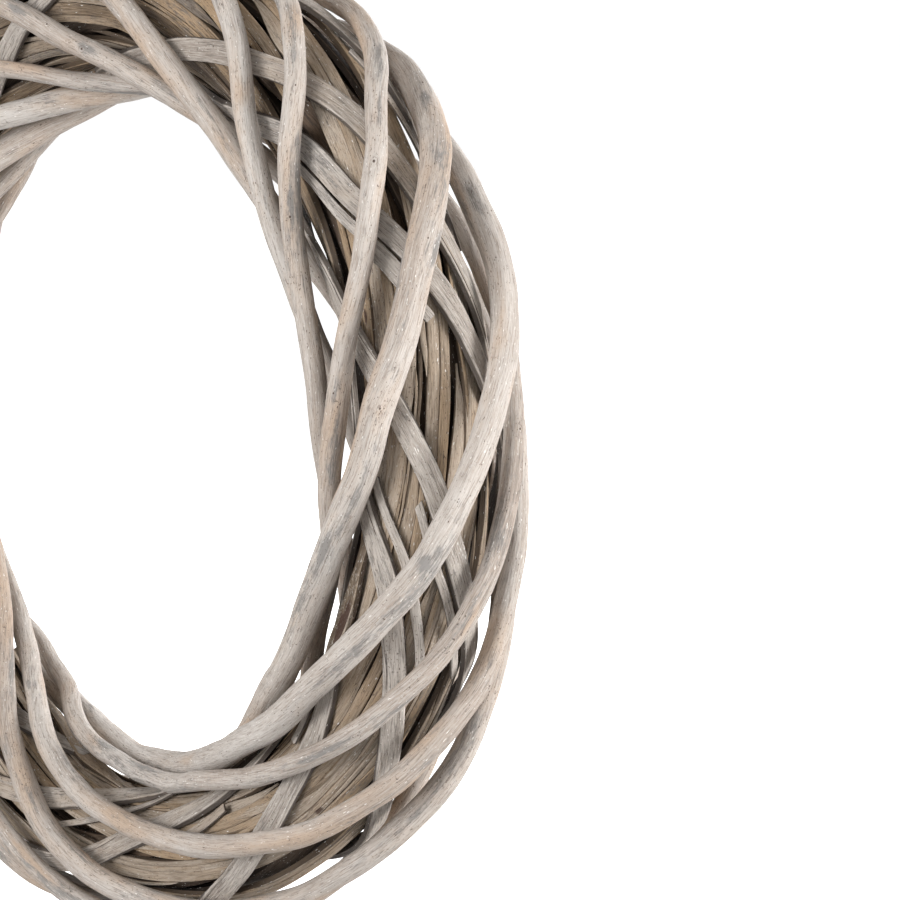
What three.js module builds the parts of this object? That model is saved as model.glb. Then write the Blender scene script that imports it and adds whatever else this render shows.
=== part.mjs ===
// A wreath of whitewashed wicker: long round rods wound in open spirals round a bundle of split strips.
//
// Millimetres, +Z up. The ring stands upright in the XZ plane, as it hangs, with its front towards -Y.
// The origin is the middle of the box. Every piece is one strand, bent round the ring from end to end.
//
// A place on the ring is given by three numbers:
//   turn   degrees round the ring from its right-hand side, clockwise as seen from the front
//   wind   degrees round the bundle: 0 faces outwards, 90 the front, 180 the hole, 270 the back
//   reach  distance from the middle of the bundle
import * as THREE from "three";

const RING_RADIUS = 163; // from the middle of the hole to the middle of the bundle
const GAP = 0.35; // left between strands that rest on each other
const DEG = Math.PI / 180;
const TURN_MM = RING_RADIUS * DEG; // length of one degree round the ring

// The bundle's skin, as the reach of whatever lies outermost in each small cell of turn and wind.
const TURN_CELLS = 480;
const WIND_CELLS = 180;
const skin = new Float32Array(TURN_CELLS * WIND_CELLS);

const wrapped = (n, size) => ((n % size) + size) % size;
const cellOf = (i, j) => wrapped(i, TURN_CELLS) * WIND_CELLS + wrapped(j, WIND_CELLS);
const turnCell = (turn) => Math.round((turn / 360) * TURN_CELLS);
const windCell = (wind) => Math.round((wind / 360) * WIND_CELLS);

function outward(turn, wind) {
  const out = Math.cos(wind * DEG);
  return new THREE.Vector3(
    out * Math.cos(turn * DEG),
    -Math.sin(wind * DEG),
    -out * Math.sin(turn * DEG),
  );
}

function pointAt({ turn, wind, reach }) {
  const middle = new THREE.Vector3(Math.cos(turn * DEG), 0, -Math.sin(turn * DEG));
  return middle.multiplyScalar(RING_RADIUS).addScaledVector(outward(turn, wind), reach);
}

function placeOf(point) {
  const out = Math.hypot(point.x, point.z) - RING_RADIUS;
  return {
    turn: Math.atan2(-point.z, point.x) / DEG,
    wind: Math.atan2(-point.y, out) / DEG,
    reach: Math.hypot(out, point.y),
  };
}

// The corners of a strand's section at each of its stations.
function ringsOf({ stations, corners }) {
  const points = stations.map(pointAt);
  return points.map((middle, i) => {
    const ahead = points[Math.min(i + 1, points.length - 1)];
    const behind = points[Math.max(i - 1, 0)];
    const along = ahead.clone().sub(behind).normalize();
    const side = along.clone().cross(outward(stations[i].turn, stations[i].wind)).normalize();
    const out = side.clone().cross(along).normalize();
    return corners.map(([across, up]) =>
      middle
        .clone()
        .addScaledVector(side, across * stations[i].half)
        .addScaledVector(out, up * stations[i].half),
    );
  });
}

// Corners of a strand's section, going round from its right edge, as shares of half its width.
const SIDES = 6;
const ROUND = Array.from({ length: SIDES }, (_, k) => {
  const angle = (k * 2 * Math.PI) / SIDES;
  return [Math.cos(angle), Math.sin(angle)];
});
const THINNESS = 0.28;
const BEVEL = 0.8;
const FLAT = [
  [1, -THINNESS],
  [BEVEL, THINNESS],
  [-BEVEL, THINNESS],
  [-1, -THINNESS],
];

// Visits small steps over the outer (facing 1) or inner (facing -1) part of a strand's surface.
const STEPS_ALONG = 16;
const STEPS_ACROSS = 5;
function visit({ stations, corners }, facing, look) {
  const rings = ringsOf({ stations, corners });
  corners.forEach((corner, c) => {
    const d = (c + 1) % corners.length;
    if (Math.sign(corner[0] - corners[d][0]) !== facing) return;
    for (let i = 0; i + 1 < rings.length; i++)
      for (let m = 0; m <= STEPS_ACROSS; m++)
        for (let k = 0; k <= STEPS_ALONG; k++) {
          const across = m / STEPS_ACROSS;
          const along = k / STEPS_ALONG;
          const bend = across > along ? rings[i][d] : rings[i + 1][c];
          const spot = new THREE.Vector3()
            .addScaledVector(rings[i][c], 1 - Math.max(across, along))
            .addScaledVector(bend, Math.abs(across - along))
            .addScaledVector(rings[i + 1][d], Math.min(across, along));
          look(placeOf(spot), i, along);
        }
  });
}

// A stiff strand bridges a dip: no station lies more than SLACK below the line between its neighbours.
const SLACK = 2.5;
const STIFFENING_ROUNDS = 12;
function stiffen(stations) {
  for (let round = 0; round < STIFFENING_ROUNDS; round++)
    for (let i = 1; i + 1 < stations.length; i++) {
      const bridge = (stations[i - 1].reach + stations[i + 1].reach) / 2 - SLACK;
      stations[i].reach = Math.max(stations[i].reach, bridge);
    }
}

// Lays a strand over everything laid before it, and adds it to the skin.
const LAYING_ROUNDS = 40;
const SETTLED = 0.02; // a strand that rises less than this has found its place
function lay(strand) {
  const { stations } = strand;
  for (let round = 0; round < LAYING_ROUNDS; round++) {
    const lift = stations.map(() => 0);
    visit(strand, -1, ({ turn, wind, reach }, i, share) => {
      const short = skin[cellOf(turnCell(turn), windCell(wind))] + GAP - reach;
      if (short <= 0) return;
      const spread = share * share + (1 - share) * (1 - share);
      lift[i] = Math.max(lift[i], (short * (1 - share)) / spread);
      lift[i + 1] = Math.max(lift[i + 1], (short * share) / spread);
    });
    stations.forEach((station, i) => (station.reach += lift[i]));
    stiffen(stations);
    if (Math.max(...lift) < SETTLED) break;
  }
  visit(strand, 1, ({ turn, wind, reach }) => {
    for (const i of [-1, 0, 1])
      for (const j of [-1, 0, 1]) {
        const cell = cellOf(turnCell(turn) + i, windCell(wind) + j);
        skin[cell] = Math.max(skin[cell], reach);
      }
  });
}

// A strand's stations, evenly spaced along a smooth line through its marks.
const WIND_MM = 0.5; // length of one degree of wind, near enough for even spacing
function stationsOf(marks, step, halfAt) {
  const line = new THREE.CatmullRomCurve3(
    marks.map(([turn, wind, reach]) => new THREE.Vector3(turn * TURN_MM, wind * WIND_MM, reach)),
  );
  const count = Math.max(2, Math.round(line.getLength() / step));
  return line.getSpacedPoints(count).map((p, i) => ({
    turn: p.x / TURN_MM,
    wind: p.y / WIND_MM,
    reach: p.z,
    half: halfAt(i / count),
  }));
}

// The closed skin of a strand: a ring of corners at each station, and a flat cut at each end.
function solidOf(strand) {
  const rings = ringsOf(strand);
  const position = rings.flat().flatMap((corner) => corner.toArray());
  const count = strand.corners.length;
  const last = (rings.length - 1) * count;
  const index = [];
  for (let i = 0; i + 1 < rings.length; i++)
    for (let k = 0; k < count; k++) {
      const [a, b] = [i * count + k, i * count + ((k + 1) % count)];
      index.push(a, b + count, b, a, a + count, b + count);
    }
  for (let k = 1; k + 1 < count; k++) {
    index.push(0, k, k + 1);
    index.push(last, last + k + 1, last + k);
  }
  const geometry = new THREE.BufferGeometry();
  geometry.setAttribute("position", new THREE.Float32BufferAttribute(position, 3));
  geometry.setIndex(index);
  return geometry;
}

const finish = (name, colour, roughness) =>
  new THREE.MeshStandardMaterial({ name, color: colour, roughness, metalness: 0 });
const WHITEWASHED = finish("whitewashed rod", "#b9ad9d", 0.75);
const WEATHERED = finish("weathered strip", "#a39a8e", 0.85);
const SPLIT = finish("bare split wood", "#a38f74", 0.85);

const wreath = new THREE.Group();
wreath.name = "wreath";

function add(name, material, strand) {
  lay(strand);
  const mesh = new THREE.Mesh(solidOf(strand), material);
  mesh.name = name;
  wreath.add(mesh);
}

// Evenly wound marks: pitch is the degrees of wind for each degree of turn.
const MARKS = 12;
function evenly(from, length, wind, pitch, reach, wander = () => 0) {
  return Array.from({ length: MARKS + 1 }, (_, n) => {
    const turned = (length * n) / MARKS;
    return [from + turned, wind + pitch * turned + wander(), reach];
  });
}

// A small pseudo-random draw, alike in every run.
const DRAW_FACTOR = 16807;
const DRAW_MODULUS = 2147483647;
let seed = 7;
function draw(low, high) {
  seed = (seed * DRAW_FACTOR) % DRAW_MODULUS;
  return low + ((high - low) * seed) / DRAW_MODULUS;
}

// The hoop: three rods twisted round each other like a rope.
const ROD_STEP = 26; // between the stations of any rod
const HOOP_RODS = 3;
const HOOP_HALF = 4.0;
const HOOP_REACH = 5.1;
const HOOP_PITCH = 3;
const HOOP_LENGTH = 350; // in degrees of turn
for (let n = 0; n < HOOP_RODS; n++) {
  const from = (n * 360) / HOOP_RODS;
  const marks = evenly(from, HOOP_LENGTH, from + HOOP_PITCH * from, HOOP_PITCH, HOOP_REACH);
  const stations = stationsOf(marks, ROD_STEP, () => HOOP_HALF);
  add(`hoop_rod_${n + 1}`, SPLIT, { stations, corners: ROUND });
}

// The bundle: three layers of split strips round the hoop. A whole pitch brings each strip back to its
// start after one turn, so the strips of a layer lie side by side all the way round.
const LAYERS = [
  { name: "inner_split", count: 6, pitch: 1, wind: 0, reach: 10, width: [9, 10], step: 33 },
  { name: "middle_split", count: 7, pitch: -1, wind: 25, reach: 13, width: [8, 10.5], step: 33 },
  { name: "outer_split", count: 9, pitch: 1, wind: 154, reach: 17, width: [7.5, 10], step: 27 },
];
const SPLIT_LENGTH = 345; // in degrees of turn
const SPLIT_SCATTER = 8; // by which a strip may start early or late
const SPLIT_WANDER = 3; // by which a strip may stray to either side, in degrees of wind
for (const { name, count, pitch, wind, reach, width, step } of LAYERS)
  for (let n = 0; n < count; n++) {
    const share = (n * 360) / count;
    const from = share + draw(-SPLIT_SCATTER, SPLIT_SCATTER);
    const wander = () => draw(-SPLIT_WANDER, SPLIT_WANDER);
    const marks = evenly(from, SPLIT_LENGTH, wind + pitch * from + share, pitch, reach, wander);
    const half = draw(...width) / 2;
    const stations = stationsOf(marks, step, () => half);
    add(`${name}_${n + 1}`, SPLIT, { stations, corners: FLAT });
  }

// Flat strips wound the other way over the bundle.
const STRIPS = [
  [[-100, 190], [-67, 103], [-52, 62], [-45, 40], [-30, 5], [-10, -55], [15, -115], [35, -165]],
  [[-85, 210], [-60, 145], [-42, 81], [-32, 60], [-25, 33], [-14, -9], [8, -75], [35, -140], [55, -190]],
  [[-50, 190], [-38, 150], [-20, 107], [-12, 83], [-2, 46], [8, 15], [20, -25], [45, -90], [70, -150]],
  [[-25, 190], [-12, 155], [3, 109], [11, 74], [19, 53], [36, 15], [52, -35], [75, -95], [95, -150]],
  [[0, 185], [15, 145], [32, 97], [45, 80], [57, 61], [70, 35], [85, -10], [105, -70], [125, -120]],
  [[35, 185], [53, 140], [72, 122], [82, 105], [91, 81], [105, 45], [120, 5], [140, -50], [160, -100]],
  [[70, 190], [100, 125], [130, 60], [155, 0], [185, -60], [215, -130]],
  [[105, 190], [135, 130], [165, 60], [190, 0], [220, -60], [250, -125]],
  [[140, 185], [170, 120], [198, 60], [225, 0], [255, -65], [285, -130]],
  [[175, 185], [205, 120], [232, 60], [260, 0], [290, -60], [320, -130]],
  [[215, 190], [245, 125], [270, 60], [297, 0], [327, -60], [350, -125]],
];
const STRIP_HALF = 4.4;
const STRIP_REACH = 22;
const STRIP_STEP = 24;
STRIPS.forEach((route, n) => {
  const marks = route.map(([turn, wind]) => [turn, wind, STRIP_REACH]);
  const stations = stationsOf(marks, STRIP_STEP, () => STRIP_HALF);
  add(`cross_strip_${n + 1}`, WEATHERED, { stations, corners: FLAT });
});

// The rods that show: each starts at its first thickness and ends at its second one.
const RODS = [
  {
    thickness: [8.0, 9.4],
    route: [
      [-135, 22], [-105, 80], [-95, 110], [-80, 138], [-62, 164], [-45, 192], [-25, 229], [-5, 265],
      [12, 297], [23, 322, 34], [32, 342, 37], [43, 358, 35], [51, 370, 34], [60, 385, 33], [70, 406],
      [76, 421], [90, 450], [106, 486], [122, 518], [136, 547], [150, 573], [165, 600],
    ],
  },
  {
    thickness: [9.8, 7.4],
    route: [
      [-185, -105], [-150, -42], [-130, -7], [-115, 20], [-100, 46], [-79, 88], [-68, 109, 33],
      [-57, 131, 33], [-40, 160, 35], [-20, 192, 33], [0, 222], [20, 256], [40, 294], [60, 335],
      [75, 367], [93, 407], [106, 440], [125, 475], [150, 520], [180, 575],
    ],
  },
  {
    thickness: [8.2, 7.4],
    route: [
      [-165, -133], [-135, -80], [-110, -35], [-90, 0], [-75, 28], [-63, 52], [-51, 86, 33],
      [-43, 111, 35], [-36, 127, 35], [-28, 140, 36], [-18, 155, 36], [-8, 171, 34], [5, 192],
      [30, 233], [58, 280], [90, 338], [110, 371], [130, 398], [150, 425], [180, 470],
    ],
  },
  {
    thickness: [7.6, 7.2],
    route: [
      [-150, -145], [-130, -110], [-105, -64], [-85, -28], [-68, 4], [-57, 25], [-44, 69, 32],
      [-35, 101, 33], [-29, 115, 34], [-20, 124, 36], [-10, 132, 36], [0, 144, 36], [12, 163],
      [32, 202], [58, 250], [85, 298], [110, 340], [130, 370], [155, 400],
    ],
  },
  {
    thickness: [8.0, 7.2],
    route: [
      [-160, 150], [-135, 195], [-115, 230], [-95, 265], [-75, 300], [-53, 335], [-44, 367], [-36, 391],
      [-25, 424], [-14, 453, 33], [-5, 471, 34], [4, 483, 34], [14, 497, 30], [24, 513], [36, 535],
      [58, 576], [85, 626], [110, 670], [135, 712],
    ],
  },
  {
    thickness: [12.0, 9.6],
    route: [
      [-190, 62], [-160, 115], [-128, 169], [-105, 207], [-85, 243], [-65, 280], [-50, 308], [-42, 328],
      [-35, 347], [-28, 374], [-19, 401], [-8, 431], [3, 454], [11, 471], [20, 486], [30, 499, 34],
      [41, 511, 34], [52, 527, 33], [65, 550], [80, 578], [98, 612], [122, 655], [150, 702],
    ],
  },
  {
    thickness: [8.8, 10.6],
    route: [
      [-200, 5], [-175, 48], [-147, 95], [-119, 147], [-104, 175], [-85, 213], [-65, 249], [-48, 284],
      [-33, 309], [-24, 321, 34], [-15, 334, 34], [-7, 358], [4, 388], [13, 413], [20, 435], [29, 457],
      [40, 479], [50, 497], [63, 517], [75, 532], [91, 549], [100, 561], [109, 576], [122, 600],
      [138, 628],
    ],
  },
  {
    thickness: [7.0, 7.6],
    route: [
      [-170, 12], [-135, 75], [-110, 122], [-98, 154], [-82, 188], [-65, 222], [-45, 256], [-25, 290],
      [-8, 322], [5, 343, 32], [14, 366, 32], [23, 394], [32, 420], [44, 455], [56, 483], [76, 512],
      [94, 531], [109, 551], [122, 577], [140, 610], [165, 655],
    ],
  },
  {
    thickness: [8.2, 8.6],
    route: [
      [-75, 170], [-60, 198], [-45, 226], [-30, 256], [-10, 290], [5, 314], [18, 333, 34],
      [25, 354, 34], [32, 375, 34], [42, 400, 33], [55, 433], [70, 464], [86, 487], [105, 511],
      [120, 541], [133, 567], [150, 598], [175, 645], [205, 690],
    ],
  },
  {
    thickness: [8.0, 7.0],
    route: [
      [92, 12, 28], [105, 36, 28], [125, 72, 28], [150, 115, 28], [180, 162, 28], [205, 203, 28],
    ],
  },
];
const RODS_INSIDE = 27.2; // reach of the rods' inner side where they lie loose
RODS.forEach(({ thickness: [first, last], route }, n) => {
  const marks = route.map(([turn, wind, reach = RODS_INSIDE + last / 2]) => [turn, wind, reach]);
  const halfAt = (share) => (first + (last - first) * share) / 2;
  add(`rod_${n + 1}`, WHITEWASHED, { stations: stationsOf(marks, ROD_STEP, halfAt), corners: ROUND });
});

// The origin is put in the middle of the box.
const middle = new THREE.Box3().setFromObject(wreath).getCenter(new THREE.Vector3());
for (const mesh of wreath.children) mesh.geometry.translate(-middle.x, -middle.y, -middle.z);

export default wreath;
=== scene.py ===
import math

import bpy
import numpy as np
from mathutils import Euler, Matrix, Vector


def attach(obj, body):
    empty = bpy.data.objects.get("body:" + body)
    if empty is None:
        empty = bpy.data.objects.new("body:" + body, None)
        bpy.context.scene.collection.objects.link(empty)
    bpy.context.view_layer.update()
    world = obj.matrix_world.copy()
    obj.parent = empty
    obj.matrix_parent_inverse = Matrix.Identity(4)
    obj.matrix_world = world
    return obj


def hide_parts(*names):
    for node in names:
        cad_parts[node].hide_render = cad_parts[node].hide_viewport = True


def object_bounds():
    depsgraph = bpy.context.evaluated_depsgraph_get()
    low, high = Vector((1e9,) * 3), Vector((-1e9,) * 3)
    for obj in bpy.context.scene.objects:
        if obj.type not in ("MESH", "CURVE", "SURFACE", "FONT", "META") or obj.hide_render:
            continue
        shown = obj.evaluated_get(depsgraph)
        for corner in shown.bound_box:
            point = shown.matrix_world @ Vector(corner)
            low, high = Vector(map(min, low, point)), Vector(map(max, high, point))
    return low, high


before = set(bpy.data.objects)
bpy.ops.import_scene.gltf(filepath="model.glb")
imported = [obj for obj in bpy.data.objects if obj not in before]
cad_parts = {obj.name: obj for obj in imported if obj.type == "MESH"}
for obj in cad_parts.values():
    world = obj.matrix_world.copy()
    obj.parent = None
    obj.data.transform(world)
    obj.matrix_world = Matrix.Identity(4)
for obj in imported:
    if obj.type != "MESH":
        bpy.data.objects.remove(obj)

cad_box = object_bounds()

# The view
# The wreath is seen from in front and from its right, about on a level with it. The picture takes in
# its right half: the middle of the hole lies 315 pixels left of and 21 above the middle of 900.
RING_MIDDLE = Vector((-0.002355, 0.000247, -0.000605))
VIEW_AZIMUTH = math.radians(52.0)
VIEW_ELEVATION = math.radians(6.3)
VIEW_DISTANCE = 1.150
FOCAL_PIXELS = 2955
PIXELS_ASIDE = 315
PIXELS_UP = 21
PICTURE_PIXELS = 900
SENSOR_MM = 36
towards_camera = Vector((
    math.sin(VIEW_AZIMUTH) * math.cos(VIEW_ELEVATION),
    -math.cos(VIEW_AZIMUTH) * math.cos(VIEW_ELEVATION),
    math.sin(VIEW_ELEVATION),
))
camera_data = bpy.data.cameras.new("camera")
camera_data.sensor_width = SENSOR_MM
camera_data.lens = SENSOR_MM * FOCAL_PIXELS / PICTURE_PIXELS
camera_data.clip_start = 0.05
camera_data.clip_end = 20
camera = bpy.data.objects.new("camera", camera_data)
bpy.context.scene.collection.objects.link(camera)
bpy.context.scene.camera = camera
camera.rotation_mode = "QUATERNION"
camera.location = RING_MIDDLE + towards_camera * VIEW_DISTANCE
turned_aside = Euler(
    (-math.atan(PIXELS_UP / FOCAL_PIXELS), -math.atan(PIXELS_ASIDE / FOCAL_PIXELS), 0), "XYZ"
)
camera.rotation_quaternion = (-towards_camera).to_track_quat("-Z", "Y") @ turned_aside.to_quaternion()

# The floor and the light
# A white studio. The wreath hangs close over a wide table of opal acrylic. Five soft lights are out of
# the picture: on its left, high up, behind the camera, on its right, and behind the wreath.
FLOOR_DROP = 0.045  # below the wreath
FLOOR_HALF = 9  # half the table's side
WALL_LIGHT = 0.30  # strength of the light that the white wall throws back
WALL_SEEN = 1.02  # and of what is seen of it


def linear(colour):
    """An sRGB hex colour as linear red, green, blue and alpha."""
    parts = [int(colour[i:i + 2], 16) / 255 for i in (1, 3, 5)]
    return [c / 12.92 if c <= 0.04045 else ((c + 0.055) / 1.055) ** 2.4 for c in parts] + [1.0]


def add(tree, kind, inputs=None, **settings):
    """Adds a node of a kind, with its settings, and its inputs as values or links."""
    made = tree.nodes.new(kind)
    for name, value in settings.items():
        setattr(made, name, value)
    for name, value in (inputs or {}).items():
        if isinstance(value, bpy.types.NodeSocket):
            tree.links.new(value, made.inputs[name])
        else:
            made.inputs[name].default_value = value
    return made


# Matt opal acrylic, lit from below, gives an even white ground with no edge and no reflections.
acrylic = bpy.data.materials.new("matt opal acrylic")
acrylic.use_nodes = True
acrylic_shader = acrylic.node_tree.nodes["Principled BSDF"].inputs
acrylic_shader["Base Color"].default_value = linear("#ececec")
acrylic_shader["Roughness"].default_value = 0.9
acrylic_shader["Emission Color"].default_value = linear("#ffffff")
acrylic_shader["Emission Strength"].default_value = 0.95
lowest = cad_box[0].z - FLOOR_DROP
floor_mesh = bpy.data.meshes.new("floor")
floor_mesh.from_pydata(
    [(x, y, lowest) for x, y in ((-1, -1), (1, -1), (1, 1), (-1, 1))], [], [(0, 1, 2, 3)]
)
floor_mesh.materials.append(acrylic)
floor = bpy.data.objects.new("floor", floor_mesh)
floor.scale = (FLOOR_HALF, FLOOR_HALF, 1)
bpy.context.scene.collection.objects.link(floor)
floor.visible_diffuse = False

# The wall of the studio is seen as pure white, and throws back less light than that.
world = bpy.data.worlds.new("white studio")
bpy.context.scene.world = world
world.use_nodes = True
thrown = world.node_tree.nodes["Background"]
thrown.inputs["Color"].default_value = linear("#ffffff")
thrown.inputs["Strength"].default_value = WALL_LIGHT
seen = add(world.node_tree, "ShaderNodeBackground", {"Color": linear("#ffffff"), "Strength": WALL_SEEN})
ray = add(world.node_tree, "ShaderNodeLightPath")
mixed = add(world.node_tree, "ShaderNodeMixShader", {
    0: ray.outputs["Is Camera Ray"],
    1: thrown.outputs[0],
    2: seen.outputs[0],
})
world.node_tree.links.new(mixed.outputs[0], world.node_tree.nodes["World Output"].inputs["Surface"])
for name, place, watts, size in (
    ("left light", (0.18, -1.44, 0.20), 17, 0.6),
    ("high light", (0.12, -0.96, 1.15), 5, 0.6),
    ("middle light", (1.20, -0.95, 0.00), 6, 1.6),
    ("right light", (1.36, 0.60, 0.00), 30, 0.6),
    ("back light", (-0.75, 1.30, 0.60), 28, 0.9),
):
    lamp_data = bpy.data.lights.new(name, "AREA")
    lamp_data.energy = watts
    lamp_data.size = size
    lamp = bpy.data.objects.new(name, lamp_data)
    lamp.location = place
    lamp.rotation_euler = (RING_MIDDLE - Vector(place)).to_track_quat("-Z", "Y").to_euler()
    bpy.context.scene.collection.objects.link(lamp)
bpy.context.scene.view_settings.view_transform = "Standard"

# The hoop
# Three thin rods twisted into the ring that everything else is wound on: bare brown wicker, hidden by
# the strips round it. Each strand's own line is read from its solid, a ring of corners at a time.
RING_RADIUS = 0.163
MM = 0.001
BEVEL = 0.3 * MM  # of a cut end
INSIDE_BEVEL = 0.88  # the share of the section that it leaves
SLANT_REACH = 5 * MM  # how far from a cut end its slant shows
RELIEF_ROWS = 997  # more than the cells along any strand
FULLER = 1.02  # a rod's thickness over its solid's
KINK = 0.4 * MM  # how far a rod strays from its smooth line
KINK_CELL = 22 * MM
SWELL = 0.035  # the share by which it swells and narrows
OUT_OF_ROUND = 0.05
BUMPS = ((4.5, 40, 0.28), (2.4, 14, 0.16), (1.3, 5, 0.07))  # width, length, height in millimetres
TIP = 40 * MM  # how far from its cut end a rod gets thinner and bends inwards
TIP_BEND = 2.4 * MM
TIP_THINNING = 0.35
ROD_CUT_SLANT = 1.2  # at most, as rise over run


def rings_of(node):
    """The rings of corners of a strand's solid, in order from one cut end to the other."""
    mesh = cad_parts[node].data
    # Corners that round to the same micron are one.
    corners, same = np.unique(
        np.round(np.array([v.co for v in mesh.vertices], float), 6), axis=0, return_inverse=True
    )
    same = same.reshape(-1)
    beside = [set() for _ in corners]
    for face in mesh.polygons:
        ids = [int(same[v]) for v in face.vertices]
        for a in ids:
            beside[a].update(b for b in ids if b != a)
    # Along a strand each corner has six others beside it, and at its ends more or fewer.
    at_ends = {k for k, others in enumerate(beside) if len(others) != 6}
    ring, found = [min(at_ends)], {min(at_ends)}
    for a in ring:
        new = sorted((beside[a] & at_ends) - found)
        ring += new
        found.update(new)
    rings = []
    while ring:
        rings.append(corners[sorted(ring)])
        ring = sorted({b for a in ring for b in beside[a]} - found)
        found.update(ring)
    middles = np.array([r.mean(0) for r in rings]) - np.array(RING_MIDDLE)
    turn = np.unwrap(np.arctan2(-middles[:, 2], middles[:, 0]))
    return rings if turn[-1] > turn[0] else rings[::-1]


def line_of(node, spacing):
    """Closely spaced points on a natural cubic spline through the middles of a strand's rings, their
    place on it in metres, and half the strand's width there."""
    rings = rings_of(node)
    points = np.array([ring.mean(0) for ring in rings])
    halves = np.array([np.linalg.norm(ring - ring.mean(0), axis=1).mean() for ring in rings])
    steps = np.linalg.norm(np.diff(points, axis=0), axis=1)
    at = np.concatenate([[0], np.cumsum(steps)])
    system = np.eye(len(points))
    known = np.zeros_like(points)
    for i in range(1, len(points) - 1):
        system[i, i - 1:i + 2] = steps[i - 1], 2 * (steps[i - 1] + steps[i]), steps[i]
        known[i] = 6 * ((points[i + 1] - points[i]) / steps[i] - (points[i] - points[i - 1]) / steps[i - 1])
    bend = np.linalg.solve(system, known)
    along = np.linspace(0, at[-1], int(at[-1] / spacing) + 2)
    k = np.clip(np.searchsorted(at, along, side="right") - 1, 0, len(points) - 2)
    step, left, right = steps[k][:, None], (at[k + 1] - along)[:, None], (along - at[k])[:, None]
    line = (bend[k] * left**3 + bend[k + 1] * right**3) / (6 * step)
    line += (points[k] / step - bend[k] * step / 6) * left
    line += (points[k + 1] / step - bend[k + 1] * step / 6) * right
    return line, along, np.interp(along, at, halves)


def unit(vectors):
    """Vectors in the same directions, each of length 1."""
    return vectors / np.linalg.norm(vectors, axis=-1, keepdims=True)


def spread(line):
    """Points of a strand as their place on the ring's middle line, and what leads from there to them."""
    from_middle = line - np.array(RING_MIDDLE)
    on_ring = unit(from_middle * [1, 0, 1]) * RING_RADIUS
    return on_ring + np.array(RING_MIDDLE), from_middle - on_ring


def laid(line):
    """The directions ahead along a strand, across it and out of the bundle, at points of its line."""
    ahead = unit(np.gradient(line, axis=0))
    across = unit(np.cross(ahead, spread(line)[1]))
    return ahead, across, np.cross(across, ahead)


def waves(rng, along, lengths):
    """A smooth random wander between about -1 and 1, made of waves of those lengths in metres."""
    return sum(np.sin(2 * math.pi * (along / length + rng.random())) for length in lengths) / len(lengths)


def torn(rng, across, along, cells=64):
    """A random relief between -1 and 1. Its cells measure 1 by 1 and repeat after that many across."""
    heights = rng.uniform(-1, 1, (cells, RELIEF_ROWS))
    i, j = np.floor(across).astype(int), np.floor(along).astype(int)
    u, v = across - i, along - j
    u, v = u * u * (3 - 2 * u), v * v * (3 - 2 * v)
    i, beside, j, further = i % cells, (i + 1) % cells, j % RELIEF_ROWS, (j + 1) % RELIEF_ROWS
    near = heights[i, j] * (1 - u) + heights[beside, j] * u
    far = heights[i, further] * (1 - u) + heights[beside, further] * u
    return near * (1 - v) + far * v


class Skin:
    """The corners and faces of one piece, gathered strand by strand, with what its material reads.
    straight holds the corners in millimetres as if the strand lay straight, and leads the grain.
    finish holds how much it is washed, worn grey and bared. scar holds the way from the nearest scar,
    across and along, as a multiple of its size, and how near that is."""

    # On strips, the first value of finish, the wash, is lowered on their flanks and backs as painted shade.
    def __init__(self, rng):
        self.values = {"corner": [], "straight": [], "finish": [], "scar": []}
        self.faces, self.count, self.start = [], 0, rng.uniform(0, 5)

    def strand(self, line, along, x, y, finish, scar, slant):
        """Adds a closed strand. x and y are its corners across it and out of the bundle, ring by ring.
        Its ends are cut at that slant."""
        n, m = x.shape
        ahead, across, out = laid(line)
        from_end = np.minimum(along - along[0], along[-1] - along)[:, None]
        askew = slant * x * np.exp(-from_end / SLANT_REACH)
        corner = line[:, None] + across[:, None] * x[..., None] + out[:, None] * y[..., None]
        sections = {
            "corner": corner + ahead[:, None] * askew[..., None],
            "straight": np.stack([x, y, along[:, None] + askew + self.start], -1) / MM,
            "finish": np.broadcast_to(finish, (n, m, 3)),
            "scar": np.broadcast_to(scar, (n, m, 3)),
        }
        for name, rings in sections.items():
            out_by = ahead[[0, -1]] * BEVEL if name == "corner" else np.zeros((2, 3))
            ends = rings[[0, -1]]
            middles = ends.mean(1, keepdims=True)
            ends = middles + (ends - middles) * INSIDE_BEVEL + (out_by * [[-1], [1]])[:, None]
            rings = np.concatenate([ends[:1], rings, ends[1:]])
            self.values[name] += [rings.reshape(-1, 3), ends.mean(1)]
        i, k = np.meshgrid(np.arange(n + 1), np.arange(m), indexing="ij")
        a, b = self.count + i * m + k, self.count + i * m + (k + 1) % m
        self.faces += np.stack([a, a + m, b + m, b], -1).reshape(-1, 4).tolist()
        last, tail = self.count + (n + 1) * m, self.count + (n + 2) * m
        k, beside = np.arange(m), (np.arange(m) + 1) % m
        self.faces += np.stack([self.count + k, self.count + beside, 0 * k + tail], -1).tolist()
        self.faces += np.stack([last + beside, last + k, 0 * k + tail + 1], -1).tolist()
        self.count = tail + 2

    def piece(self, node, material):
        """Makes the piece that stands for a node of the frame."""
        mesh = bpy.data.meshes.new(node + "_wicker")
        values = {name: np.concatenate(rows) for name, rows in self.values.items()}
        mesh.from_pydata(values.pop("corner").tolist(), [], self.faces)
        for name, rows in values.items():
            read = mesh.attributes.new(name, "FLOAT_VECTOR", "POINT")
            read.data.foreach_set("vector", rows.astype(np.float32).ravel())
        mesh.materials.append(material)
        mesh.shade_smooth()
        mesh.set_sharp_from_angle(angle=math.radians(50))
        made = bpy.data.objects.new(node + "_wicker", mesh)
        bpy.context.scene.collection.objects.link(made)
        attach(made, "root")
        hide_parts(node)


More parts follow.
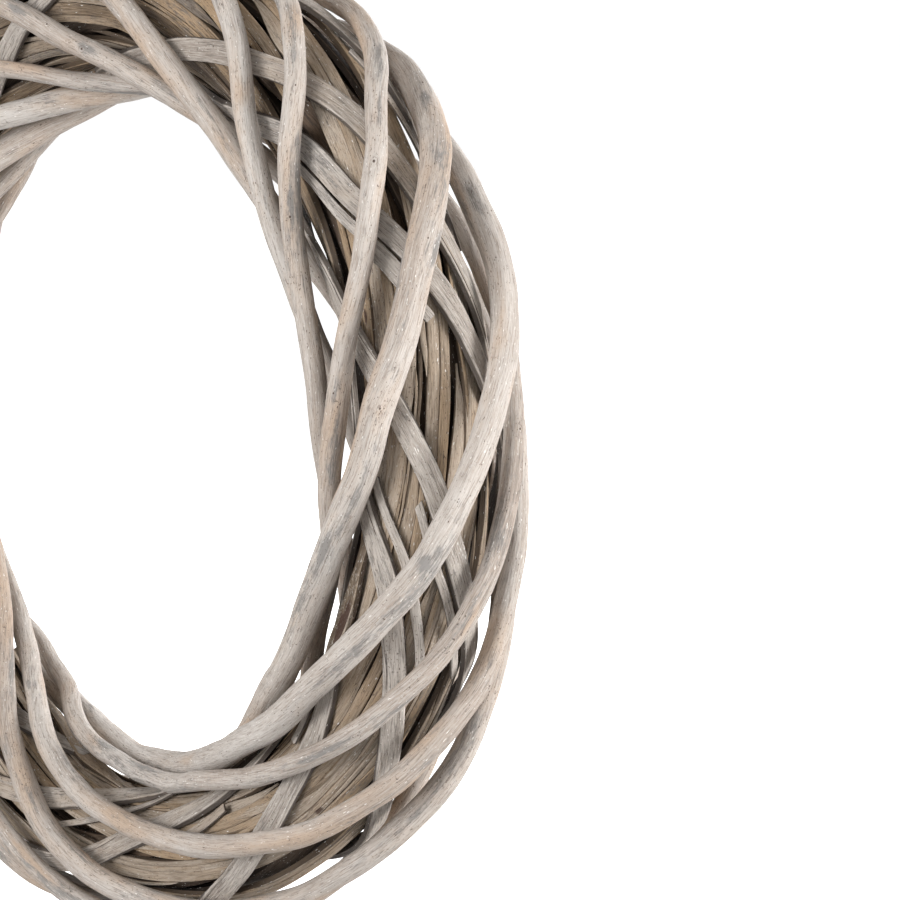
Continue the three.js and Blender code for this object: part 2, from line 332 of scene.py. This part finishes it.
# A leaf scar: its rod swells round it, and it is a low cushion, sunk in the middle. Lengths are in
# scar sizes, and a size of 1 is a millimetre.
SCAR_SWELL = 0.05  # as a share of the rod
SCAR_SWELL_MM = 8  # how far from the scar
CUSHION_HEIGHT = 0.4
CUSHION_RADIUS = 2.8
SCAR_DIP = 0.2
SCAR_COLOUR_ENDS = 9  # nothing of its colour shows further off
WASH_DRIFT = 0.35  # how much the wash varies along a rod
WASH_SIDE = 0.25  # and round it
# Worn grey and bared patches: the least and most of half their length and half their width in
# millimetres and of their strength, and the length of rod in metres that has one.
WORN_PATCHES = ((4, 24), (0.7, 3.0), (0.3, 1.0), 0.016)
BARED_PATCHES = ((5, 35), (1.2, 5.0), (0.3, 1.1), 0.024)


def round_from(angle, turned):
    """How far round from a mark at that many degrees, in radians."""
    return (angle - math.radians(turned) + math.pi) % (2 * math.pi) - math.pi


def scattered(rng, rod_length, patch):
    """Patches of a kind, put on a rod by chance."""
    long, wide, strength, apart = patch
    return [
        (rng.uniform(0, rod_length), rng.uniform(0, 360),
         rng.uniform(*long), rng.uniform(*wide), rng.uniform(*strength))
        for _ in range(int(rod_length / apart))
    ]


def patched(along, angle, half, places):
    """How strongly each corner lies in soft oval patches. A place is how far along in metres and how far
    round in degrees it lies, its half length and half width in millimetres, and its strength."""
    total = np.zeros(np.broadcast(along, angle).shape)
    for at, turned, length, width, strength in places:
        oval = ((along - at) / length) ** 2 + (round_from(angle, turned) * half / width) ** 2
        total = np.maximum(total, strength * np.exp(-oval / MM**2))
    return total


def rod(skin, node, rng, spacing, sides, tone, scars=(), worn=()):
    """A peeled round rod along a node's line. Its tone is how much it is washed, worn grey and bared. Its
    scars and its worn patches are given, and more patches come by chance."""
    line, along, half = line_of(node, spacing)
    _, across, out = laid(line)
    for way in (across, out):
        kinks = waves(rng, along, (0.045, 0.083, 0.15)) + torn(rng, 0 * along, along / KINK_CELL)
        line = line + way * (kinks * KINK)[:, None]
    half = half * FULLER * (1 + SWELL * waves(rng, along, (0.023, 0.047, 0.12)))
    tucked = np.clip(1 - np.minimum(along, along[-1] - along) / TIP, 0, 1) ** 2
    line = line - out * (tucked * TIP_BEND)[:, None]
    half = half * (1 - TIP_THINNING * tucked)
    mean_half = half.mean()
    angle = np.arange(sides)[None] * 2 * math.pi / sides
    down = along[:, None]
    oval = np.cos(2 * angle + rng.random() * 6) * waves(rng, down, (0.11, 0.27))
    reach = half[:, None] * (1 + OUT_OF_ROUND * oval)
    for across_mm, along_mm, height in BUMPS:
        cells = round(2 * math.pi * mean_half / MM / across_mm)
        reach = reach + height * MM * torn(rng, angle / (2 * math.pi) * cells, down / MM / along_mm, cells)
    scar = np.zeros(reach.shape + (3,))
    for at, turned, size in scars:
        off = round_from(angle, turned) * mean_half / MM / size
        far = (down - at) / MM / size
        distance = np.hypot(off, far)
        reach = reach * (1 + SCAR_SWELL * size * np.exp(-((far * size / SCAR_SWELL_MM) ** 2)))
        cushion = CUSHION_HEIGHT * np.exp(-((distance / CUSHION_RADIUS) ** 2))
        reach = reach + size * MM * (cushion - SCAR_DIP * np.exp(-distance**2))
        # A small scar colours its rod less.
        near = np.clip((1 - distance / SCAR_COLOUR_ENDS) * size * 1.6, 0, 1)
        own = np.stack([off + 0 * far, far + 0 * off, near], -1)
        scar = np.where((near > scar[..., 2])[..., None], own, scar)
    worn = scattered(rng, along[-1], WORN_PATCHES) + list(worn)
    bared = scattered(rng, along[-1], BARED_PATCHES)
    washed = tone[0] + WASH_DRIFT * waves(rng, down, (0.06, 0.17, 0.41))
    finish = np.stack([
        washed + WASH_SIDE * np.cos(angle + rng.random() * 6 + 9 * down),
        tone[1] + patched(down, angle, mean_half, worn),
        tone[2] + patched(down, angle, mean_half, bared),
    ], -1)
    slant = rng.uniform(-ROD_CUT_SLANT, ROD_CUT_SLANT)
    skin.strand(line, along, reach * np.cos(angle), reach * np.sin(angle), finish, scar, slant)


def wicker(name, bare, dark, tan, wash, grey, fibres):
    """Wicker, drawn along the strand from its bare colour up: dark between the fibres, tan where it is
    bared, chalky where it is washed and grey where it is worn. Its fibres stand up that much."""
    material = bpy.data.materials.new(name)
    material.use_nodes = True
    tree = material.node_tree
    straight = add(tree, "ShaderNodeAttribute", attribute_name="straight").outputs["Vector"]
    finish = add(tree, "ShaderNodeAttribute", attribute_name="finish").outputs["Vector"]
    finish = add(tree, "ShaderNodeSeparateXYZ", {0: finish}).outputs
    # On the strips the washed value is lowered on their flanks and backs as painted shade, so they get less
    # wash and more of the dark coat.
    drawn = {"washed": finish["X"], "worn": finish["Y"], "bared": finish["Z"]}
    # Patterns, their size across and along the strand in millimetres, and how fine they break up.
    for mark, across, length, detail in (
        ("fibre", 0.40, 7, 3),  # bundles of fibres, drawn twice as wide as they are, so that they show
        ("grit", 0.55, 1.6, 3),  # where the wash caught on them
        ("band", 2.0, 45, 2),  # where the wash ran along the strand
        ("cloud", 5, 18, 4),  # where it was rubbed off
        ("blotch", 1.6, 6, 5),  # grey mould in patches
        ("speck", 0.6, 1.1, 1),  # pores and dirt
        ("fleck", 0.5, 2.0, 1),  # dried drops of wash
    ):
        per_mm = (1 / across, 1 / across, 1 / length)
        place = add(tree, "ShaderNodeVectorMath", {0: straight, 1: per_mm}, operation="MULTIPLY").outputs[0]
        drawn[mark] = add(tree, "ShaderNodeTexNoise", {
            "Vector": place, "Scale": 1.0, "Detail": detail, "Roughness": 0.6,
        }).outputs["Fac"]
    # Round a scar lie its bud, a ring and a pale halo: how far from its middle, in scar sizes, and how
    # far from there they are full and have gone. The blotches make them uneven.
    scar = add(tree, "ShaderNodeAttribute", attribute_name="scar").outputs["Vector"]
    near = add(tree, "ShaderNodeSeparateXYZ", {0: scar}).outputs["Z"]
    close = add(tree, "ShaderNodeMapRange", {"Value": near, "From Min": 0.25, "From Max": 0.7}).outputs[0]
    flat = add(tree, "ShaderNodeVectorMath", {0: scar, 1: (1, 0.8, 0)}, operation="MULTIPLY").outputs[0]
    away = add(tree, "ShaderNodeVectorMath", {0: flat}, operation="LENGTH").outputs["Value"]
    away = add(tree, "ShaderNodeMath", {0: drawn["blotch"], 1: 1.6, 2: away}, operation="MULTIPLY_ADD")
    for mark, middle, full, gone in (
        ("bud", 0.8, 0.3, 0.7),
        ("ring", 2.6, 0.2, 0.6),
        ("halo", 0.5, 1.5, 4.0),
    ):
        off = add(tree, "ShaderNodeMath", {0: away.outputs[0], 1: middle}, operation="SUBTRACT").outputs[0]
        off = add(tree, "ShaderNodeMath", {0: off}, operation="ABSOLUTE").outputs[0]
        share = add(tree, "ShaderNodeMapRange", {
            "Value": off, "From Min": full, "From Max": gone, "To Min": 1.0, "To Max": 0.0,
        }).outputs[0]
        drawn[mark] = add(tree, "ShaderNodeMath", {0: share, 1: close}, operation="MULTIPLY").outputs[0]
    # Each coat of colour goes over those before it. It follows a sum of patterns: it begins at the first
    # number and is full at the second, and then covers the share that the third one gives.
    colour = linear(bare)
    for weights, low, high, most, tint in (
        ({"washed": 0.35, "band": 0.5, "cloud": 0.5, "grit": 0.7, "fibre": -0.9}, 0.12, 0.68, 0.95, wash),
        ({"bared": 0.5, "cloud": 0.9, "grit": 0.5}, 0.76, 1.15, 0.8, tan),
        ({"worn": 0.4, "blotch": 0.9, "grit": 0.5, "fibre": 0.6}, 1.10, 1.40, 0.9, grey),
        ({"fibre": 0.9, "grit": 0.6}, 0.76, 1.0, 0.6, dark),
        ({"washed": -0.5, "band": 0.6, "fibre": 0.6}, 0.82, 1.2, 0.8, dark),
        ({"speck": 1.0, "cloud": 0.4}, 0.88, 0.96, 0.8, "#51433a"),
        ({"fleck": 1.0, "cloud": -0.4}, 0.52, 0.58, 0.85, "#eeebe6"),
        ({"halo": 0.4, "grit": 1.0}, 0.96, 1.10, 0.7, "#d8d0c6"),
        ({"ring": 0.6, "blotch": 0.8}, 0.96, 1.10, 0.7, "#6b5d51"),
        ({"bud": 1.0}, 0.1, 0.8, 0.9, "#402b22"),
    ):
        total = 0.0
        for mark, weight in weights.items():
            parts = {0: drawn[mark], 1: weight, 2: total}
            total = add(tree, "ShaderNodeMath", parts, operation="MULTIPLY_ADD").outputs[0]
        share = add(tree, "ShaderNodeMapRange", {
            "Value": total, "From Min": low, "From Max": high, "To Max": most,
        }).outputs[0]
        coats = {0: share, 6: colour, 7: linear(tint)}
        colour = add(tree, "ShaderNodeMix", coats, data_type="RGBA").outputs[2]
    height = 0.0
    for mark, weight in (
        ("fibre", fibres), ("grit", -0.6), ("band", 0.6), ("cloud", 1.5), ("speck", -0.5), ("ring", -0.2),
    ):
        parts = {0: drawn[mark], 1: weight, 2: height}
        height = add(tree, "ShaderNodeMath", parts, operation="MULTIPLY_ADD").outputs[0]
    bump = add(tree, "ShaderNodeBump", {"Height": height, "Strength": 0.7, "Distance": 0.3 * MM})
    shader = tree.nodes["Principled BSDF"]
    tree.links.new(colour, shader.inputs["Base Color"])
    tree.links.new(bump.outputs["Normal"], shader.inputs["Normal"])
    # Peeled wood has an IOR of about 1.5. Open fibres and dust leave it duller than that, and matt.
    rough = add(tree, "ShaderNodeMapRange", {
        "Value": drawn["fibre"], "From Min": 0.3, "From Max": 0.7, "To Min": 0.70, "To Max": 0.86,
    }).outputs[0]
    tree.links.new(rough, shader.inputs["Roughness"])
    shader.inputs["IOR"].default_value = 1.46
    shader.inputs["Specular IOR Level"].default_value = 0.35
    return material


# Bare brown wicker gives dull dark wood with hardly any wash and a low grain. Its colours are darker than the
# bare wood's own brown, as painted shade in the gaps.
bare_core_with_painted_shade = wicker("bare brown wicker and painted shade", "#504135", "#2a211a", "#644d37", "#685b4f", "#453e39", 1.6)
for n in range(1, 4):
    rng = np.random.default_rng(100 + n)
    skin = Skin(rng)
    rod(skin, f"hoop_rod_{n}", rng, 0.005, 12, (-0.5, 0.0, 0.2))
    skin.piece(f"hoop_rod_{n}", bare_core_with_painted_shade)

# The inner strips
# Two layers of split strips round the hoop, wound across each other. They are rods split lengthwise, of
# bare brown wicker, and they show only as dark wood in the gaps: partly the wood's own brown, partly painted
# shade.
THINNESS = 0.28  # a strip's thickness over its width
CROWN = 0.12  # how much higher its middle is, over half its thickness
RIDGES = ((2.5, 45, 0.22), (1.1, 14, 0.12))  # their width, length and height in millimetres
TONE_DRIFT = 0.4  # how much its tone varies
EDGE_WASH = 0.7  # torn edges hold more wash
FLANK_PAINTED_SHADE = -1.6  # and their flanks and backs none, but are darkened as painted shade in the gaps
KNOT_STRETCH = 2.5  # a split runs along a knot, and shows it long
STRIP_CUT_SLANT = 0.8


def section(tops):
    """A split strip's section, going round from its right lower edge: a flat back, upright torn sides
    and a low crown with that many corners."""
    top = np.linspace(0.86, -0.86, tops)
    x = np.concatenate([[1, 1, 0.96], top, [-0.96, -1, -1, -0.35, 0.35]])
    y = np.concatenate([[-1, 0.3, 0.8], 1 + CROWN * (1 - top**2), [0.8, 0.3, -1, -1, -1]])
    return x, y


def slat(skin, rng, strip, left, right, low, high, tone, tops, knot=None):
    """A splint along a strip's line, between two sides and two heights. Its tone is how much it is
    washed, worn grey and bared. A knot is how far along in metres and how far across in millimetres it
    lies, and its size."""
    line, along, _ = strip
    sx, sy = section(tops)
    x = ((left + right) / 2)[:, None] + ((right - left) / 2)[:, None] * sx
    y = low[:, None] + (high - low)[:, None] * (sy + 1) / 2
    down = along[:, None] + 0 * x
    rough = sum(rise * torn(rng, x / (wide * MM), down / (long * MM)) for wide, long, rise in RIDGES)
    y = y + rough * (sy > 0.5) * MM
    scar = (0.0, 0.0, 0.0)
    if knot:
        at, aside, size = knot
        off, far = (x / MM - aside) / size, (down - at) / MM / size / KNOT_STRETCH
        distance = np.hypot(off, far)
        scar = np.stack([off, far, np.clip(1 - distance / SCAR_COLOUR_ENDS, 0, 1)], -1)
        cushion = 0.25 * np.exp(-((distance / 2) ** 2))
        y = y + (sy > 0) * size * MM * (cushion - SCAR_DIP * np.exp(-distance**2))
    # Painted shade: the flanks and back of each strip, which lie down in the gaps, are darkened through its
    # wash. Its torn upper edges get more wash.
    edge_wash_and_painted_shade = np.where(sy < 0.5, FLANK_PAINTED_SHADE, (sy < 0.9) * EDGE_WASH)
    finish = np.stack([
        tone[0] + TONE_DRIFT * waves(rng, down, (0.05, 0.13, 0.37)) + edge_wash_and_painted_shade,
        tone[1] + TONE_DRIFT * waves(rng, down, (0.04, 0.11, 0.31)),
        tone[2] + TONE_DRIFT * waves(rng, down, (0.06, 0.15, 0.33)),
    ], -1)
    skin.strand(line, along, x, y, finish, scar, rng.uniform(-STRIP_CUT_SLANT, STRIP_CUT_SLANT))


for layer, count, seed in (("inner_split", 6, 11000), ("middle_split", 7, 12000)):
    for n in range(1, count + 1):
        rng = np.random.default_rng(seed + n)
        skin = Skin(rng)
        line, along, half = line_of(f"{layer}_{n}", 0.006)
        edge = half * (1 + 0.06 * waves(rng, along, (0.03, 0.07)))
        thick = half * THINNESS
        tone = (rng.uniform(-0.6, 0.2), rng.uniform(-0.1, 0.3), rng.uniform(-0.2, 0.7))
        slat(skin, rng, (line, along, half), -edge, edge, -thick, thick, tone, 7)
        skin.piece(f"{layer}_{n}", bare_core_with_painted_shade)

# The outside of the bundle
# Flat split strips, torn along their grain. Splints and splinters torn off them lie along and slantwise
# between them, some pushed under the next strip. All are pressed on by the outer rods.
CRACK_WANDER = 0.07  # over half the strip's width
CRACK_WIDTH = 0.13  # likewise, at the most
SPLINT_WANDER = 0.6 * MM
SPLINT_STEP = 4 * MM  # from one ring of its corners to the next
BROAD_THICKNESS = 1.5 * MM
POINT_TAPER = 4  # the length over which a splint comes to its point, in widths


def split(skin, rng, strip, parts, opening, tone, tops, knot=None):
    """A strip, split along its grain into that many parts that lie side by side. The cracks between them
    come and go, and opening is how wide they get, over half the strip's width."""
    _, along, half = strip
    marks = np.linspace(-1, 1, parts + 1)
    marks[1:-1] += rng.uniform(-0.4, 0.4, parts - 1)
    cracks = [half * (mark + CRACK_WANDER * waves(rng, along, (0.03, 0.09, 0.21))) for mark in marks]
    for k in range(parts):
        open_here = np.clip(0.2 + waves(rng, along, (0.06, 0.13, 0.29)), 0, 1)
        left = cracks[k] + half * opening * open_here * (k > 0)
        high = half * THINNESS * (1 + 0.25 * waves(rng, along, (0.05, 0.12, 0.3)))
        own = [value + shift for value, shift in zip(tone, rng.uniform(-0.15, 0.15, 3))]
        slat(skin, rng, strip, left, cracks[k + 1], -half * THINNESS, high, own, tops, knot)


def splint(skin, rng, strip, start, length, aside, height, width, thickness, tone, tops,
           point=0.1, knot=None):
    """A splint that lies along a strip and tapers to both ends. aside and height hold how far it lies from
    the strip's middle line, round the bundle and out of it, from its start to its end. point is how
    wide its ends are, over its width."""
    line, along, _ = strip
    place = np.linspace(start, start + length, max(8, int(length / SPLINT_STEP)))
    share = (place - start) / length
    points = np.stack([np.interp(place, along, line[:, axis]) for axis in range(3)], -1)
    on_ring, reach = spread(points)
    far = np.linalg.norm(reach, axis=1, keepdims=True)
    round_ring = unit(np.cross(on_ring - np.array(RING_MIDDLE), [0, 1, 0]))
    drift = np.interp(share, np.linspace(0, 1, len(aside)), aside)
    drift = drift + SPLINT_WANDER * waves(rng, place, (0.04, 0.09))
    turned = drift[:, None] / far
    way = unit(reach) * np.cos(turned) + np.cross(round_ring, unit(reach)) * np.sin(turned)
    lift = np.interp(share, np.linspace(0, 1, len(height)), height)[:, None]
    taper = np.clip(np.minimum(share, 1 - share) * length / (width * POINT_TAPER), point, 1)
    side = taper * width / 2 * (1 + 0.08 * waves(rng, place, (0.03, 0.08)))
    thick = taper**0.4 * thickness / 2
    slat(skin, rng, (on_ring + way * (far + lift), place, side), -side, side, -thick, thick, tone, tops, knot)


# Split wicker gives dull torn fibres, from tan where it is bare to grey where light and rain reached it.
split_wicker = wicker("split wicker", "#887764", "#3e3228", "#a1886b", "#b3a596", "#746d66", 2.4)
# A knot that stands out on the ninth strip. Broad splints that fill the inside of the bundle, by strip:
# their start and length in metres, and in millimetres how far aside and how high they lie, and their
# width, then how much they are washed and their knot. The last two on the eighth strip are a bark scar
# and its torn rim.
KNOTS = {9: (0.041, -1.5, 1.6)}
BROAD = {
    8: (
        (0.47, 0.17, (-3, -5, -4), (1.5, 5.0, 1.5), 9, -0.3, None),
        (0.25, 0.09, (-6, -6, -6), (2.5, 4.0, 2.5), 9, -0.7, (0.291, -1.5, 6)),
        (0.281, 0.022, (-3.0, -1.9, -3.2), (4.5, 5.2, 4.5), 0.9, 2.0, None),
    ),
    9: (
        (0.33, 0.15, (0, 1, 0), (1.5, 5.5, 1.5), 8, -0.3, None),
        (0.17, 0.14, (0, -1, 0), (1.5, 6.0, 1.5), 7, -0.3, None),
    ),
}
for n in range(1, 10):
    rng = np.random.default_rng(1100 + n)
    skin = Skin(rng)
    strip = line_of(f"outer_split_{n}", 0.003)
    along, half = strip[1:]
    tone = (rng.uniform(-0.7, 0.5), rng.uniform(-0.3, 0.4), rng.uniform(-0.2, 0.9))
    knot = (rng.uniform(0, along[-1]), rng.uniform(-2, 2), rng.uniform(1.0, 1.6))
    split(skin, rng, strip, int(rng.integers(2, 4)), CRACK_WIDTH, tone, 7, KNOTS.get(n, knot))
    # Width and thickness in millimetres, how many, the greatest length in metres, how high over the
    # strip in millimetres, how much they slant, and the corners of their crown.
    for wide, thick, count, longest, lowest, slants, tops in (
        (6.5, 1.5, 3, 0.30, -1.4, 0.6, 7),  # splints between the strips
        (4.0, 0.9, 3, 0.16, 0.2, 2.2, 7),  # splints that cross them
        (1.6, 0.7, 10, 0.13, 0.4, 0.8, 3),  # splinters
    ):
        for _ in range(count):
            width = wide * rng.uniform(0.55, 1.25) * MM
            length = longest * rng.uniform(0.35, 1)
            first = rng.uniform(0.5, 1.6)
            aside = half[0] * np.array([first, first - slants * rng.uniform(0, 1)]) + width / 3
            aside = aside * rng.choice((-1, 1))
            height = half[0] * THINNESS + (lowest + rng.uniform(-0.4, 0.4, 2)) * MM
            own = [value + shift for value, shift in zip(tone, rng.uniform(-0.9, 0.7, 3))]
            start = rng.uniform(0, along[-1] - length)
            aside = aside[::rng.choice((-1, 1))]
            splint(skin, rng, strip, start, length, aside, height, width, thick * MM, own, tops)
    for start, length, aside, height, width, washed, knot in BROAD.get(n, ()):
        splint(skin, rng, strip, start, length, np.array(aside) * MM, np.array(height) * MM, width * MM,
               BROAD_THICKNESS, (washed, 0.1, 0.2), 9, 0.5, knot)
    skin.piece(f"outer_split_{n}", split_wicker)

# The counter-wound strips
# Flat grey strips wound the other way over the bundle, under the round rods. They have weathered most.
# Splinters stand along their edges, and slips of the same stuff lie beside them.
SPLINTERS = 5
SPLINTER_THICKNESS = 0.5 * MM
SLIPS = 2
SLIP_THICKNESS = 1.0 * MM
# Weathered wicker gives a silver grey, with fibres that stand up and catch the light.
weathered_wicker = wicker("weathered wicker", "#90857b", "#48413c", "#a59482", "#c3bbb3", "#7e7a76", 2.6)
for n in range(1, 12):
    rng = np.random.default_rng(300 + n)
    skin = Skin(rng)
    strip = line_of(f"cross_strip_{n}", 0.003)
    along, half = strip[1:]
    tone = (rng.uniform(-0.3, 0.6), rng.uniform(-0.1, 0.3), rng.uniform(-0.4, 0.4))
    split(skin, rng, strip, 1, 0, tone, 11)
    for _ in range(SPLINTERS):
        length = rng.uniform(0.02, 0.07)
        aside = rng.choice((-1, 1)) * half[0] * rng.uniform(0.5, 1.0, 2)
        height = half[0] * THINNESS + rng.uniform(-0.2, 0.5, 2) * MM
        splint(skin, rng, strip, rng.uniform(0, along[-1] - length), length, aside, height,
               rng.uniform(0.5, 1.4) * MM, SPLINTER_THICKNESS, tone, 3)
    for _ in range(SLIPS):
        length = rng.uniform(0.03, 0.08)
        aside = rng.choice((-1, 1)) * (half[0] + rng.uniform(3, 7, 2) * MM)
        splint(skin, rng, strip, rng.uniform(0, along[-1] - length), length, aside, (0, 0.3 * MM),
               rng.uniform(2.5, 5) * MM, SLIP_THICKNESS, tone, 5, 0.9)
    skin.piece(f"cross_strip_{n}", weathered_wicker)

# The round rods
# Long peeled rods, thinly whitewashed, wound in open spirals over everything else. They taper a little
# from butt to tip, and are never quite round or straight. Each leaf left a ring-shaped scar.
SCARS_END = 1.2  # past the end of the longest rod
SCARS_APART = 0.025  # at the least, for those put on by chance
LEAF_TURN = 137.5  # each leaf sits this many degrees further round
# Whitewashed wicker gives a chalky pale coat, caught on the fibres and rubbed off the tan wood in clouds.
washed_wicker = wicker("whitewashed wicker", "#a5988d", "#756960", "#b49d88", "#c6c0ba", "#83807d", 1.0)
# Marks that stand out, by rod: how far along in metres, how far round in degrees, and their size.
MARKED = {
    1: ((0.134, 148, 0.6), (0.154, 135, 0.7)),
    2: ((0.353, 58, 0.5),),
    4: ((0.333, 120, 0.5), (0.377, 140, 0.6)),
    5: ((0.328, 50, 0.5), (0.378, 84, 0.7), (0.457, 120, 0.5)),
    6: ((0.416, 40, 0.5), (0.447, 71, 0.4), (0.487, 96, 0.5), (0.544, 125, 0.6)),
    7: ((0.513, 50, 0.4), (0.627, 70, 0.5), (0.735, 130, 0.4)),
    8: ((0.494, 45, 0.6), (0.617, 96, 0.4), (0.678, 109, 0.5)),
    9: ((0.262, 50, 0.4), (0.287, 70, 0.5)),
}
# Grey patches that stand out, likewise, with half their length and width in millimetres and a strength.
GREYED = {
    1: ((0.118, 122, 6, 2, 1.3), (0.156, 150, 4, 2, 1.2)),
    4: ((0.372, 150, 9, 1.2, 1.2),),
    5: ((0.455, 130, 5, 1.5, 1.2), (0.33, 70, 6, 1.5, 1.0)),
    6: (
        (0.489, 146, 7, 1.4, 1.6), (0.575, 150, 22, 1.2, 1.1),
        (0.599, 122, 7, 1.7, 1.8), (0.425, 30, 5, 1.5, 1.1),
    ),
    7: ((0.643, 80, 3, 3.2, 1.7), (0.638, 100, 2.5, 1.5, 1.4), (0.56, 140, 16, 1.0, 1.1)),
    8: ((0.634, 84, 14, 1.2, 1.3), (0.60, 120, 12, 1.0, 1.0)),
}
for n in range(1, 11):
    rng = np.random.default_rng(400 + n)
    skin = Skin(rng)
    scars, at, turned = list(MARKED.get(n, ())), rng.uniform(0.02, 0.08), rng.uniform(0, 360)
    while at < SCARS_END:
        if all(abs(at - mark[0]) > SCARS_APART for mark in scars):
            scars.append((at, turned, rng.uniform(0.25, 0.5)))
        at += rng.uniform(0.06, 0.13)
        turned += LEAF_TURN
    tone = (rng.uniform(-0.25, 0.25), rng.uniform(-0.05, 0.15), rng.uniform(-0.2, 0.2))
    rod(skin, f"rod_{n}", rng, 0.002, 30, tone, scars, GREYED.get(n, ()))
    skin.piece(f"rod_{n}", washed_wicker)
